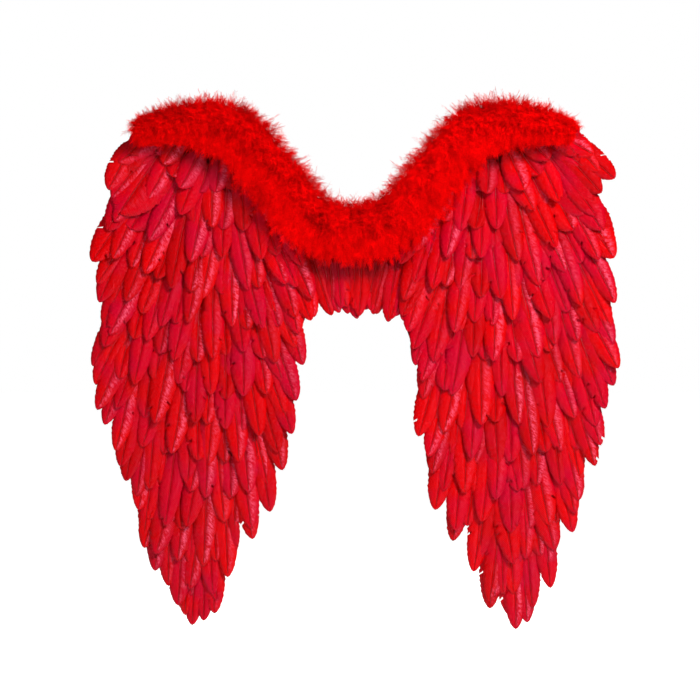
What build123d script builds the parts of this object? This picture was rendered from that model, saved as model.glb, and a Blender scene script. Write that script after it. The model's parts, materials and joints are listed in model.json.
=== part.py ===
from build123d import *
from math import cos, degrees, radians, sin, tan
import os

# Feather angel wings: two folding wings on wire frames, a centre board, and two elastic arm loops.
# The feathered face looks towards -Y and the wearer stands at +Y. +X is the right wing and +Z is up.
# The origin is the middle of the back pad's outer face, which rests between the shoulder blades.

os.makedirs("parts", exist_ok=True)

# Depths are distances in front of the wearer's back, towards -Y.
pad_thick = 11.5
felt_thick = 1.0
board_thick = 3.0
cover_thick = 1.2
glue_gap = 0.1
board_back = pad_thick + felt_thick
board_front = board_back + board_thick
hinge_depth = board_back + board_thick / 2
cover_front = board_front + cover_thick

# The wire loop of one wing, as corners (x, z) with their bend radii. Its first run is the hinge pin.
hinge_x = 53.0
wire_radius = 1.5
frame_corners = [
    (hinge_x, -52),
    (hinge_x, 44),
    (120, 133),
    (178, 162),
    (258, 152),
    (292, 80),
    (292, -150),
    (206, -400),
    (137, -300),
]
frame_bends = [20, 12, 100, 80, 60, 100, 200, 35, 80]
board_inset = 1.8
cover_outset = 2.0
wing_root_x = hinge_x + 5.0
sheet_cut_width = 100.0
sheet_cut_height = 1200.0

# The centre board and its hinge clips.
centre_half_width = 47.0
centre_top = 40.0
centre_bottom = -52.0
centre_corner = 6.0
clip_heights = (24.0, -36.0)
clip_length = 16.0
clip_outer_radius = 3.0
clip_bore_radius = wire_radius + 0.05
tab_thick = 0.8
tab_inner_x = 41.0
tab_gap = 0.4
slot_width = 10.0
slot_x = tab_inner_x + 4.5
slot_play = 0.4
clip_pin_x = 44.5
clip_pin_radius = 1.2
hole_clearance = 0.1

# The back pad and the two elastic arm loops, which stand in planes of constant x.
pad_width = 46.0
pad_height = 80.0
pad_edge_round = 4.0
pad_corner = 12.0
strap_x = 36.0
strap_width = 20.0
strap_thick = 1.6
strap_depth = board_back - felt_thick - strap_thick / 2
strap_corners = [
    (-strap_depth, 20),
    (-strap_depth, 56),
    (95, 50),
    (118, -35),
    (60, -62),
    (-strap_depth, -56),
    (-strap_depth, -26),
]
strap_bends = [10, 50, 45, 70, 12]
strap_rivet_heights = (29.0, -35.0)
rivet_radius = 2.0
rivet_head_radius = 4.5
rivet_head_thick = 1.2
rivet_head_round = 0.6

# Feathers fan out from one point near the top of the wing. A wing edge is listed as pairs of
# distance from that point and angle from straight down, positive towards the wing's outer side.
fan_x = 157.0
fan_z = 192.0
outer_edge = [
    (122, 70),
    (164, 66),
    (237, 46),
    (305, 35),
    (390, 26.2),
    (485, 16.8),
    (590, 11),
    (668, 6),
]
inner_edge = [
    (122, -36),
    (164, -33),
    (205, -26.5),
    (246, -22.5),
    (298, -18.7),
    (382, -12.2),
    (580, -2.5),
    (668, 2),
]
edge_margin = 0.4
row_count = 14
first_row_radius = 122.0
row_pitch = 42.0
feather_spacing = 45.0
lower_spacing = 27.0
first_closer_row = 8
feather_length = 145.0
shortest_feather = 40.0
feather_width = 29.0
feather_thick = 0.8
feather_root_half = 2.5
blade_shape = [(0.45, 0.5), (0.80, 0.5), (0.93, 0.34), (1.0, 0.12)]
layer_rise = 2.8
side_step = 1.2
feather_slope = layer_rise / row_pitch
quill_gap = 0.7
feather_lowest = cover_front + quill_gap
feather_base = feather_lowest + feather_length * feather_slope
fan_gap = 62.0
highest_quill = 165.0
fan_follow = 0.8
inner_splay = 7.0
splay_rows = 4
angle_wobble = 3.0
width_wobble = 0.06
length_wobble = 7.0
wobble_by_row = 5.1
wobble_by_place = 2.9
length_by_row = 3.7
length_by_place = 4.3
feather_front = feather_base + length_wobble * feather_slope + side_step + feather_thick

# The marabou band along the top edge, glued over the quills. Its line runs from the middle outwards.
band_corners = [(35, 22), (122, 137), (180, 166), (262, 154)]
band_bends = [60, 110, 85]
band_half_width = 27.0
band_half_depth = 12.0
band_gap = 0.6
band_depth = feather_front + band_gap + band_half_depth
band_cut_bottom = -100.0
band_cut_height = 400.0
band_cut_x = 400.0
fold_angle_centre = 35.0
fold_angle_wing = 37.0
fold_clearance = 1.0

# The short row below the middle of the band.
centre_feather_count = 9
centre_feather_spacing = 10.0
centre_feather_width = 20.0
centre_feather_top = -12.0
centre_feather_length = 64.0
centre_feather_extra = 9.0
centre_lean = 0.3
centre_by_place = 2.6
centre_layers = 3


def save(part, name):
    """Label a finished sub-part and write it to its own file."""
    part.label = name
    export_step(part, f"parts/{name}.step")


def sided(points, side):
    """The same outline on the left (-1) or the right (+1)."""
    return [(side * x, z) for x, z in points]


def wing_sheet(side, depth, thick, grow):
    """A flat sheet that follows the wire loop, larger or smaller by grow, and ends beside the hinge."""
    with BuildPart() as sheet:
        with BuildSketch(Plane.XZ.offset(depth)):
            with BuildLine():
                FilletPolyline(*sided(frame_corners, side), radius=frame_bends, close=True)
            make_face()
            offset(amount=grow)
            with Locations((side * (wing_root_x - sheet_cut_width / 2), 0)):
                Rectangle(sheet_cut_width, sheet_cut_height, mode=Mode.SUBTRACT)
        extrude(amount=thick)
    return sheet.part


def wing_wire(side):
    """The bent steel wire: one closed loop whose straight inner run turns in the hinge clips."""
    with BuildPart() as wire:
        with BuildLine(Plane.XZ.offset(hinge_depth)):
            FilletPolyline(*sided(frame_corners, side), radius=frame_bends, close=True)
        with BuildSketch(Plane.XY):
            with Locations((side * hinge_x, -hinge_depth)):
                Circle(wire_radius)
        sweep()
    return wire.part


def band_tube(corners, bends):
    """The plain body of the marabou trim: an oval section carried along the band's line."""
    start_x, start_z = corners[0]
    next_x, next_z = corners[1]
    start = Plane(
        origin=(start_x, -band_depth, start_z),
        x_dir=(0, 1, 0),
        z_dir=(next_x - start_x, 0, next_z - start_z),
    )
    with BuildPart() as tube:
        with BuildLine(Plane.XZ.offset(band_depth)):
            FilletPolyline(*corners, radius=bends)
        with BuildSketch(start):
            Ellipse(band_half_depth, band_half_width)
        sweep()
    return tube.part


def band_centre():
    """The middle of the marabou trim, cut back on both sides so that the wings can fold."""
    reach = band_depth + band_half_depth - hinge_depth
    front_x = hinge_x - fold_clearance - reach * tan(radians(fold_angle_centre))
    back_x = hinge_x - fold_clearance
    front_depth = hinge_depth + reach
    left_half = [(-x, z) for x, z in reversed(band_corners[:2])]
    with BuildPart() as band:
        add(band_tube(left_half + band_corners[:2], [band_bends[0], band_bends[0]]))
        with BuildSketch(Plane.XY.offset(band_cut_bottom)):
            Polygon(
                (-back_x, -hinge_depth),
                (-front_x, -front_depth),
                (front_x, -front_depth),
                (back_x, -hinge_depth),
                align=None,
            )
        extrude(amount=band_cut_height, mode=Mode.INTERSECT)
    return band.part


def band_wing(side):
    """The marabou trim of one wing, which starts in front of the hinge with room to fold."""
    reach = band_depth + band_half_depth - hinge_depth
    front_x = hinge_x + fold_clearance + reach * tan(radians(fold_angle_wing))
    back_x = hinge_x + fold_clearance
    front_depth = hinge_depth + reach
    with BuildPart() as band:
        add(band_tube(sided(band_corners, side), band_bends[1:]))
        with BuildSketch(Plane.XY.offset(band_cut_bottom)):
            Polygon(
                (side * back_x, -hinge_depth),
                (side * front_x, -front_depth),
                (side * band_cut_x, -front_depth),
                (side * band_cut_x, -hinge_depth),
                align=None,
            )
        extrude(amount=band_cut_height, mode=Mode.INTERSECT)
    return band.part


def edge_angle(edge, radius):
    """The angle of a wing edge at one distance from the fan's centre."""
    for (near, near_angle), (far, far_angle) in zip(edge, edge[1:]):
        if radius <= far:
            share = (radius - near) / (far - near)
            return near_angle + share * (far_angle - near_angle)
    return edge[-1][1]


def blade(length, width):
    """A feather's flat outline, from its quill end at 0 to its tip."""
    upper = [(0, feather_root_half)] + [(along * length, across * width) for along, across in blade_shape]
    lower = [(along, -across) for along, across in reversed(upper)]
    return upper + lower


def feather(side, tip_x, tip_z, tip_depth, angle, length, width, slope):
    """Where one flat feather lies: the plane at its quill end, its length and its width."""
    lean_x = side * sin(radians(angle))
    lean_z = -cos(radians(angle))
    root = (side * tip_x - lean_x * length, slope * length - tip_depth, tip_z - lean_z * length)
    plane = Plane(
        origin=root,
        x_dir=(lean_x, -slope, lean_z),
        z_dir=(-slope * lean_x, -1, -slope * lean_z),
    )
    return plane, length, width


def feather_group(feathers):
    """All feathers of one row, each a thin flat solid of its own."""
    with BuildPart() as group:
        for plane, length, width in feathers:
            with BuildSketch(plane):
                Polygon(*blade(length, width), align=None)
            extrude(amount=feather_thick)
    return group.part


def wing_row(side, row):
    """One row of feathers across a wing. Rows lie like roof tiles, the top row outermost."""
    radius = first_row_radius + row * row_pitch
    margin = degrees(edge_margin * feather_width / radius)
    low = edge_angle(inner_edge, radius) + margin
    high = edge_angle(outer_edge, radius) - margin
    closer = max(0, row + 1 - first_closer_row) / (row_count - first_closer_row)
    spacing = feather_spacing + closer * (lower_spacing - feather_spacing)
    gaps = max(1, round(radians(high - low) * radius / spacing))
    feathers = []
    for place in range(gaps + 1 - row % 2):
        across = (place + 0.5 * (row % 2)) / gaps
        fan_angle = low + across * (high - low)
        wobble = sin(wobble_by_row * row + wobble_by_place * place)
        tip_radius = radius + length_wobble * sin(length_by_row * row + length_by_place * place + 1)
        tip_x = fan_x + tip_radius * sin(radians(fan_angle))
        tip_z = fan_z - tip_radius * cos(radians(fan_angle))
        splay = inner_splay * max(0, 1 - 2 * across) * min(1, row / splay_rows)
        angle = fan_follow * fan_angle - splay + angle_wobble * wobble
        under_top = (highest_quill - tip_z) / cos(radians(angle))
        length = min(feather_length, tip_radius - fan_gap, under_top)
        if length > shortest_feather:
            depth = feather_base + (tip_radius - radius) * feather_slope + side_step * (place % 2)
            width = feather_width * (1 + width_wobble * wobble)
            size = (length, width)
            feathers.append(feather(side, tip_x, tip_z, depth, angle, *size, feather_slope))
    return feather_group(feathers)


def centre_row():
    """The short feathers under the middle of the band, in three thin layers."""
    feathers = []
    for place in range(centre_feather_count):
        root_x = (place - (centre_feather_count - 1) / 2) * centre_feather_spacing
        angle = -centre_lean * root_x
        length = centre_feather_length + centre_feather_extra * sin(centre_by_place * place + 0.5)
        tip_x = root_x + length * sin(radians(angle))
        tip_z = centre_feather_top - length * cos(radians(angle))
        depth = feather_lowest + side_step * (place % centre_layers)
        feathers.append(feather(1, tip_x, tip_z, depth, angle, length, centre_feather_width, 0))
    return feather_group(feathers)


# ---- centre: board, its two covers, the hinge clips and their pins ----

clip_places = [(side * clip_pin_x, height) for side in (-1, 1) for height in clip_heights]
rivet_places = [(side * strap_x, height) for side in (-1, 1) for height in strap_rivet_heights]
slot_places = [(side * slot_x, -hinge_depth, height) for side in (-1, 1) for height in clip_heights]

with BuildPart() as centre_board:
    with BuildSketch(Plane.XZ.offset(board_back)):
        with Locations((0, (centre_top + centre_bottom) / 2)):
            RectangleRounded(2 * centre_half_width, centre_top - centre_bottom, centre_corner)
    extrude(amount=board_thick)
    with Locations(*slot_places):
        Box(slot_width, tab_thick + 2 * glue_gap, clip_length + slot_play, mode=Mode.SUBTRACT)
    with BuildSketch(Plane.XZ.offset(board_back)):
        with Locations(*clip_places):
            Circle(clip_pin_radius + hole_clearance)
        with Locations(*rivet_places):
            Circle(rivet_radius + hole_clearance)
    extrude(amount=board_thick, mode=Mode.SUBTRACT)
save(centre_board.part, "centre_board")

with BuildPart() as centre_front_cover:
    with BuildSketch(Plane.XZ.offset(board_front)):
        with Locations((0, (centre_top + centre_bottom) / 2)):
            RectangleRounded(2 * centre_half_width, centre_top - centre_bottom, centre_corner)
    extrude(amount=cover_thick)
save(centre_front_cover.part, "centre_front_cover")

with BuildPart() as centre_felt:
    with BuildSketch(Plane.XZ.offset(pad_thick)):
        with Locations((0, (centre_top + centre_bottom) / 2)):
            RectangleRounded(2 * centre_half_width, centre_top - centre_bottom, centre_corner)
        with Locations(*rivet_places):
            Circle(rivet_radius + hole_clearance, mode=Mode.SUBTRACT)
    extrude(amount=felt_thick)
save(centre_felt.part, "centre_felt")

for side, side_name in ((-1, "left"), (1, "right")):
    tab_width = hinge_x - clip_bore_radius - tab_inner_x - tab_gap
    with BuildPart() as hinge_clips:
        for height in clip_heights:
            with BuildSketch(Plane.XY.offset(height - clip_length / 2)):
                with Locations((side * hinge_x, -hinge_depth)):
                    Circle(clip_outer_radius)
                with Locations((side * (tab_inner_x + tab_width / 2), -hinge_depth)):
                    Rectangle(tab_width, tab_thick)
                with Locations((side * hinge_x, -hinge_depth)):
                    Circle(clip_bore_radius, mode=Mode.SUBTRACT)
            extrude(amount=clip_length)
        with BuildSketch(Plane.XZ):
            with Locations(*[(side * clip_pin_x, height) for height in clip_heights]):
                Circle(clip_pin_radius + hole_clearance)
        extrude(amount=board_front, mode=Mode.SUBTRACT)
    save(hinge_clips.part, f"{side_name}_hinge_clips")

with BuildPart() as clip_pins:
    with BuildSketch(Plane.XZ.offset(board_back)):
        with Locations(*clip_places):
            Circle(clip_pin_radius)
    extrude(amount=board_thick)
save(clip_pins.part, "clip_pins")

# ---- centre: back pad, arm loops and their rivets ----

with BuildPart() as back_pad:
    with BuildSketch(Plane.XZ):
        RectangleRounded(pad_width, pad_height, pad_corner)
    extrude(amount=pad_thick)
    fillet(back_pad.edges().group_by(Axis.Y)[-1], radius=pad_edge_round)
save(back_pad.part, "back_pad")

for side, side_name in ((-1, "left"), (1, "right")):
    strap_start = (side * strap_x, -strap_depth, strap_corners[0][1])
    start_plane = Plane(origin=strap_start, x_dir=(1, 0, 0), z_dir=(0, 0, 1))
    with BuildPart() as arm_loop:
        with BuildLine(Plane.YZ.offset(side * strap_x)):
            FilletPolyline(*strap_corners, radius=strap_bends)
        with BuildSketch(start_plane):
            Rectangle(strap_width, strap_thick)
        sweep()
        with BuildSketch(Plane.XZ.offset(strap_depth - strap_thick)):
            with Locations(*[(side * strap_x, height) for height in strap_rivet_heights]):
                Circle(rivet_radius + hole_clearance)
        extrude(amount=2 * strap_thick, mode=Mode.SUBTRACT)
    save(arm_loop.part, f"{side_name}_arm_loop")

with BuildPart() as strap_rivets:
    strap_face = strap_depth - strap_thick / 2
    with BuildSketch(Plane.XZ.offset(strap_face)):
        with Locations(*rivet_places):
            Circle(rivet_radius)
    extrude(amount=board_front - strap_face)
    with BuildSketch(Plane.XZ.offset(strap_face - rivet_head_thick)):
        with Locations(*rivet_places):
            Circle(rivet_head_radius)
    extrude(amount=rivet_head_thick)
    fillet(strap_rivets.edges().group_by(Axis.Y)[-1], radius=rivet_head_round)
save(strap_rivets.part, "strap_rivets")

# ---- centre: marabou and short feathers ----

save(band_centre(), "centre_marabou")
save(centre_row(), "centre_feathers")

# ---- the two wings ----

for side, side_name in ((-1, "left"), (1, "right")):
    save(wing_wire(side), f"{side_name}_wire_frame")
    save(wing_sheet(side, board_back, board_thick, -board_inset), f"{side_name}_wing_board")
    save(wing_sheet(side, board_front + glue_gap, cover_thick, cover_outset), f"{side_name}_front_cover")
    save(wing_sheet(side, pad_thick - glue_gap, felt_thick, cover_outset), f"{side_name}_rear_felt")
    save(band_wing(side), f"{side_name}_marabou")
    for row in range(row_count):
        save(wing_row(side, row), f"{side_name}_feathers_{row + 1:02d}")
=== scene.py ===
# %% [markdown]
# # Red feather angel wings
# A pair of costume wings: stiff boards covered with overlapping dyed goose feathers, and a fluffy
# marabou boa along the top edge. The CAD model gives every feather a flat plate of the right size in
# the right place. This lesson reads those plates and grows a real feather on each, then makes the
# down, the cloth, the elastic and the pad. Everything is computed as numpy arrays.
#
# object_bounds gives the box of what shows, before and after.

# %% Load the frame
import json
import bmesh
import bpy
import numpy as np
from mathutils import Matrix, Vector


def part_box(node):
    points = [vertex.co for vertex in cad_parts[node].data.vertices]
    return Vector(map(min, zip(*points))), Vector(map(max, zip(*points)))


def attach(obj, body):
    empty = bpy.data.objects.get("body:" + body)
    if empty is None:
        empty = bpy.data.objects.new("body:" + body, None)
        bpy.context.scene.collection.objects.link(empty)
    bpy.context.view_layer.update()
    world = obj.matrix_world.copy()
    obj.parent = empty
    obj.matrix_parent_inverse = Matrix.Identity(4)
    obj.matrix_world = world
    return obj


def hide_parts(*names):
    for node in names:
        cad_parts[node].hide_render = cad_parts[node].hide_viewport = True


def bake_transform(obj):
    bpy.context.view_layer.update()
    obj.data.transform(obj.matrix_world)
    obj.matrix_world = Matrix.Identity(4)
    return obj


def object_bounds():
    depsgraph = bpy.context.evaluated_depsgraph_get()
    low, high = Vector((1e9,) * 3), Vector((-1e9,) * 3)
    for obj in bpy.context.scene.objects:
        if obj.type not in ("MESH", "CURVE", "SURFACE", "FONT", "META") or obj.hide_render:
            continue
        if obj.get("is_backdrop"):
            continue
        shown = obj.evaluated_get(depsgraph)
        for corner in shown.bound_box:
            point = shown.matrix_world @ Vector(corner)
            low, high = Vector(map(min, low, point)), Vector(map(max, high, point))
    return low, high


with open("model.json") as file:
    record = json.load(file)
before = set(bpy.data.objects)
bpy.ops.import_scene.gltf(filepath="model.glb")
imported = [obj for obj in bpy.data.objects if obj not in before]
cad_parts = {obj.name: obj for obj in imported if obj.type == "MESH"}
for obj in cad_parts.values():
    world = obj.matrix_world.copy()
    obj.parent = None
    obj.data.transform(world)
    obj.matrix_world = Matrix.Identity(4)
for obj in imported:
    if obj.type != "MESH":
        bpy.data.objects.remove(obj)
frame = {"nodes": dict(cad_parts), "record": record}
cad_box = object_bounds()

MM = 0.001
SIDES = ("left", "right")
WING_ROWS = sorted({n.split("_")[-1] for n in frame["nodes"] if "_feathers_" in n})
print("feather rows on a wing:", len(WING_ROWS), "box", [round(c, 3) for c in cad_box[1]])

# %% [markdown]
# ## Helpers that turn arrays into pieces
# A mesh is points and faces. Blender can take both from arrays in one go with foreach_set, which is
# far quicker than adding them one by one. Named attributes carry numbers that the materials read,
# such as how far along a barb a point lies.

# %% A mesh from arrays
def new_piece(name, points, faces, material, **attributes):
    """One object from points (n, 3) in metres and face arrays of (m, 3) or (m, 4) point numbers."""
    mesh = bpy.data.meshes.new(name)
    corners = np.concatenate([f.ravel() for f in faces]).astype(np.int32)
    sizes = np.concatenate([np.full(len(f), f.shape[1]) for f in faces])
    starts = (np.cumsum(sizes) - sizes).astype(np.int32)
    mesh.vertices.add(len(points))
    mesh.vertices.foreach_set("co", np.asarray(points, np.float32).ravel())
    mesh.loops.add(len(corners))
    mesh.loops.foreach_set("vertex_index", corners)
    mesh.polygons.add(len(starts))
    mesh.polygons.foreach_set("loop_start", starts)
    for key, values in attributes.items():
        layer = mesh.attributes.new(key, "FLOAT", "POINT")
        layer.data.foreach_set("value", np.asarray(values, np.float32).ravel())
    mesh.update(calc_edges=True)
    mesh.shade_smooth()
    mesh.materials.append(material)
    piece = bpy.data.objects.new(name, mesh)
    bpy.context.scene.collection.objects.link(piece)
    return piece


# %% [markdown]
# ### Grids, walls and tubes
# A surface with two parameters is a grid of points, and its quads follow from the numbering alone. A
# single sheet has no inside, so it gets a wall: a copy behind it and a rim. A quill is a tapered tube.

# %% Grids, walls and tubes
def grid_quads(rows, columns, close_columns=False):
    """The quads of a grid of rows by columns points, numbered row by row."""
    i = np.arange(rows - 1)[:, None]
    j = np.arange(columns if close_columns else columns - 1)[None, :]
    k = (j + 1) % columns
    corners = [i * columns + j, (i + 1) * columns + j, (i + 1) * columns + k, i * columns + k]
    return np.stack(np.broadcast_arrays(*corners), -1).reshape(-1, 4)


def thicken(points, quads, back):
    """A closed thin wall: the sheet, a copy moved by back, and a rim along edges used only once."""
    count = len(points)
    edges = np.concatenate([quads[:, [a, (a + 1) % 4]] for a in range(4)])
    keys = np.sort(edges, 1) @ np.array([count, 1])
    _, first, uses = np.unique(keys, return_index=True, return_counts=True)
    rim = edges[first[uses == 1]]
    walls = np.stack([rim[:, 1], rim[:, 0], rim[:, 0] + count, rim[:, 1] + count], 1)
    return np.concatenate([points, points + back]), np.concatenate([quads, quads[:, ::-1] + count, walls])


def tube(path, across, up, radii, sides=6):
    """A round tube along a path: a circle of the given radius in the plane of across and up."""
    turn = np.linspace(0, 2 * np.pi, sides, endpoint=False)
    ring = np.cos(turn)[:, None] * across + np.sin(turn)[:, None] * up
    points = (path[:, None] + radii[:, None, None] * ring[None]).reshape(-1, 3)
    quads = grid_quads(len(path), sides, close_columns=True)
    ends = np.array([path[0], path[-1]])
    last = (len(path) - 1) * sides
    j = np.arange(sides)
    start_cap = np.stack([np.full(sides, len(points)), j, (j + 1) % sides], 1)
    end_cap = np.stack([np.full(sides, len(points) + 1), last + (j + 1) % sides, last + j], 1)
    return np.concatenate([points, ends]), quads, np.concatenate([start_cap, end_cap])


print("quads of a grid of 3 by 4 points:", len(grid_quads(3, 4)), "closed:", len(grid_quads(3, 4, True)))

# %% [markdown]
# ### Many surfaces in one mesh
# Each feather could be an object, but hundreds of objects are slow to draw and to export. A bundle
# collects their arrays instead, and makes one mesh of them at the end.

# %% A bundle of surfaces
class Bundle:
    """Collects the arrays of many small surfaces, so that they become one mesh."""

    def __init__(self):
        """Starts with nothing."""
        self.points, self.quads, self.tris, self.values, self.count = [], [], [], {}, 0

    def add(self, points, quads, tris=None, **values):
        """Adds a surface. Its point numbers go up by the number of points already there."""
        self.quads.append(np.asarray(quads) + self.count)
        if tris is not None:
            self.tris.append(np.asarray(tris) + self.count)
        for key, value in values.items():
            self.values.setdefault(key, []).append(np.broadcast_to(value, len(points)))
        self.points.append(points)
        self.count += len(points)

    def piece(self, name, material):
        """One object from all that was added."""
        faces = [np.concatenate(part) for part in (self.quads, self.tris) if part]
        values = {key: np.concatenate(parts) for key, parts in self.values.items()}
        return new_piece(name, np.concatenate(self.points), faces, material, **values)


trial = Bundle()
trial.add(np.zeros((12, 3)), grid_quads(3, 4))
trial.add(np.zeros((12, 3)), grid_quads(3, 4))
print("points after two small grids:", trial.count, "highest point number:", trial.quads[1].max())

# %% [markdown]
# ## Materials
# Dyed feathers are satin: a rich crimson with a pink shine along the barbs. Marabou is matt down in a
# purer red. Each material is a small node graph. Numbers that stay the same all over a surface go
# straight onto the shader's sockets, and what varies comes from attributes or from noise. A node
# graph is long to write out, so each helper here adds one node and returns its output.

# %% Node helpers
def new_material(name, colour, roughness, **fixed):
    """A material with one Principled shader, and its node tree ready to be added to."""
    material = bpy.data.materials.new(name)
    material.use_nodes = True
    shader = material.node_tree.nodes["Principled BSDF"]
    shader.inputs["Base Color"].default_value = (*colour, 1)
    shader.inputs["Roughness"].default_value = roughness
    for socket, value in fixed.items():
        shader.inputs[socket.replace("_", " ")].default_value = value
    return material, material.node_tree, shader


def node(tree, kind, inputs=(), **settings):
    """Adds a node. Inputs maps a socket's name or number to a value or to another node's output."""
    made = tree.nodes.new(kind)
    for key, value in settings.items():
        setattr(made, key, value)
    for key, value in dict(inputs).items():
        if isinstance(value, bpy.types.NodeSocket):
            tree.links.new(value, made.inputs[key])
        else:
            made.inputs[key].default_value = value
    return made


# %% [markdown]
# ### Values that vary
# A few kinds of node are enough here: a named attribute, a sum, a mix of two colours, noise, a level
# between two limits, and a bump.

# %% Helpers for values that vary
def attribute(tree, name):
    """The value of a named attribute of the mesh."""
    return node(tree, "ShaderNodeAttribute", attribute_name=name).outputs["Fac"]


def maths(tree, operation, a, b=0.0, c=0.0):
    """One sum. MULTIPLY_ADD is a times b plus c."""
    return node(tree, "ShaderNodeMath", {0: a, 1: b, 2: c}, operation=operation).outputs[0]


def blend_colours(tree, share, a, b):
    """A mix of two colours, each a tuple or another node's output."""
    colours = [(*x, 1) if isinstance(x, tuple) else x for x in (a, b)]
    mix = node(tree, "ShaderNodeMix", {0: share, 6: colours[0], 7: colours[1]}, data_type="RGBA")
    return mix.outputs[2]


def noise(tree, scale, detail=2.0):
    """Noise over the object's own coordinates. A scale of 100 gives lumps of about 10 mm."""
    where = node(tree, "ShaderNodeTexCoord").outputs["Object"]
    inputs = {"Vector": where, "Scale": scale, "Detail": detail}
    return node(tree, "ShaderNodeTexNoise", inputs).outputs["Fac"]


def between(tree, value, low, high):
    """0 at low, 1 at high, a straight line between them and level outside."""
    inputs = {"Value": value, "From Min": low, "From Max": high}
    return node(tree, "ShaderNodeMapRange", inputs).outputs[0]


def bump(tree, shader, height, distance):
    """Tilts the light as if the surface rose by distance where height is 1."""
    made = node(tree, "ShaderNodeBump", {"Height": height, "Distance": distance})
    tree.links.new(made.outputs[0], shader.inputs["Normal"])


trial, trial_tree, _ = new_material("trial", (1, 0, 0), 0.5)
between(trial_tree, noise(trial_tree, 24.0), 0.2, 0.8)
print("nodes for a level of noise, with the shader and the output:", len(trial_tree.nodes))
bpy.data.materials.remove(trial)

# %% [markdown]
# ### Satin feather
# The barbs of a feather leave the quill at a slant and lie side by side, like threads in satin. The
# attribute "barb" counts them from the quill end to the tip, so a wave over it paints a fine line of
# shade between barbs whatever way the feather lies. Painted shade also darkens the quill end, which
# the next row lies over. "tone" differs from feather to feather, as dye does: some are scarlet, some
# crimson, some deep red. "across" runs from one edge over the quill to the other. Along the crest of
# the right half of some vanes, a crinkled lighter streak is a painted highlight.

# %% Satin feather material
def along_barbs(tree):
    """Noise coordinates that run fast across the barbs and slowly along them, different for each feather."""
    parts = (("barb", 60.0), ("across", 3.0), ("tone", 90.0))
    x, y, z = (maths(tree, "MULTIPLY", attribute(tree, name), size) for name, size in parts)
    return node(tree, "ShaderNodeCombineXYZ", {0: x, 1: y, 2: z}).outputs[0]


def satin_feather():
    """Scarlet to deep red by tone, crimson by slow noise, painted shade between barbs and at the quill end, a
    painted crest highlight.
    """
    fixed = {"Specular_IOR_Level": 0.45, "Sheen_Weight": 0.01, "Sheen_Roughness": 0.4}
    material, tree, shader = new_material("satin_feather", (0.6, 0.004, 0.02), 0.24, **fixed)
    shader.inputs["Specular Tint"].default_value = (1.0, 0.25, 0.40, 1)
    shader.inputs["Sheen Tint"].default_value = (1.0, 0.1, 0.25, 1)
    tone = attribute(tree, "tone")
    barb_noise = node(tree, "ShaderNodeTexNoise", {"Vector": along_barbs(tree), "Scale": 1.0, "Detail": 3.0})
    line = maths(tree, "SINE", maths(tree, "MULTIPLY", attribute(tree, "barb"), 2 * np.pi * 62))
    depth = maths(tree, "MULTIPLY", maths(tree, "FRACT", maths(tree, "MULTIPLY", tone, 5.7)), 0.6)
    colour = blend_colours(tree, depth, (0.80, 0.0002, 0.0006), (0.40, 0.0001, 0.0005))
    crimson = between(tree, maths(tree, "MULTIPLY_ADD", tone, 0.3, noise(tree, 24.0)), 0.55, 0.9)
    colour = blend_colours(tree, maths(tree, "MULTIPLY", crimson, 0.85), colour, (0.60, 0.0002, 0.026))
    # Painted shade: a dark line between each two barbs, where the gaps would lie in shade.
    fine = maths(tree, "MULTIPLY_ADD", line, 0.22, 0.22)
    colour = blend_colours(tree, fine, colour, (0.24, 0.0003, 0.001))
    # Painted highlight: a crinkled pink streak along the crest of the right half of some feathers.
    crest = maths(tree, "ABSOLUTE", maths(tree, "SUBTRACT", attribute(tree, "across"), 0.42))
    crest = between(tree, crest, 0.40, 0.05)
    some = between(tree, maths(tree, "FRACT", maths(tree, "MULTIPLY", tone, 13.0)), 0.35, 1.0)
    crinkled = maths(tree, "MULTIPLY_ADD", noise(tree, 420.0, 3.0), 0.5, barb_noise.outputs["Fac"])
    light = maths(tree, "MULTIPLY", maths(tree, "MULTIPLY", crest, some), between(tree, crinkled, 0.66, 0.92))
    colour = blend_colours(tree, maths(tree, "MULTIPLY", light, 0.9), colour, (0.90, 0.11, 0.20))
    # Painted shade: darker towards the quill end, where the next row lies over the feather.
    painted_cover_shade = maths(tree, "SUBTRACT", 0.8, maths(tree, "MULTIPLY", attribute(tree, "barb"), 1.5))
    painted_cover_shade = maths(tree, "MULTIPLY", maths(tree, "MAXIMUM", painted_cover_shade, 0.0), 0.9)
    colour = blend_colours(tree, painted_cover_shade, colour, (0.22, 0.0002, 0.0008))
    tree.links.new(colour, shader.inputs["Base Color"])
    ragged = maths(tree, "MULTIPLY_ADD", barb_noise.outputs["Fac"], 1.0, maths(tree, "MULTIPLY", line, 0.2))
    ragged = maths(tree, "MULTIPLY_ADD", noise(tree, 230.0, 3.0), 4.0, ragged)
    bump(tree, shader, ragged, 0.0004)
    return material


SATIN = satin_feather()
print("nodes in the satin graph:", len(SATIN.node_tree.nodes))

# %% [markdown]
# ### Quill
# The quill is the horn-like shaft. Dye takes less well on it, so it is a little lighter and glossier.

# %% Quill material
def quill_horn():
    """Horn: slow noise between a deep and a lighter red, and a very fine bump."""
    material, tree, shader = new_material("quill_horn", (0.5, 0.01, 0.015), 0.3)
    colour = blend_colours(tree, noise(tree, 240.0), (0.30, 0.0006, 0.002), (0.52, 0.004, 0.008))
    tree.links.new(colour, shader.inputs["Base Color"])
    bump(tree, shader, noise(tree, 1500.0), 0.00005)
    return material


QUILL = quill_horn()
print("nodes in the quill graph:", len(QUILL.node_tree.nodes))

# %% [markdown]
# ## Reading a feather's seat
# Each CAD feather is a flat plate. Its longest direction is the feather's line, its shortest is the
# way that it faces, and its lower end is the tip. A CAD node is loose triangles, so a copy of it is
# welded first and its arrays are read from the copy.

# %% The points of a CAD node
def welded(name):
    """A copy of a CAD node's mesh in which touching triangles share their corners."""
    shape = bmesh.new()
    shape.from_mesh(frame["nodes"][name].data)
    bmesh.ops.remove_doubles(shape, verts=shape.verts, dist=0.02 * MM)
    return shape


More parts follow.
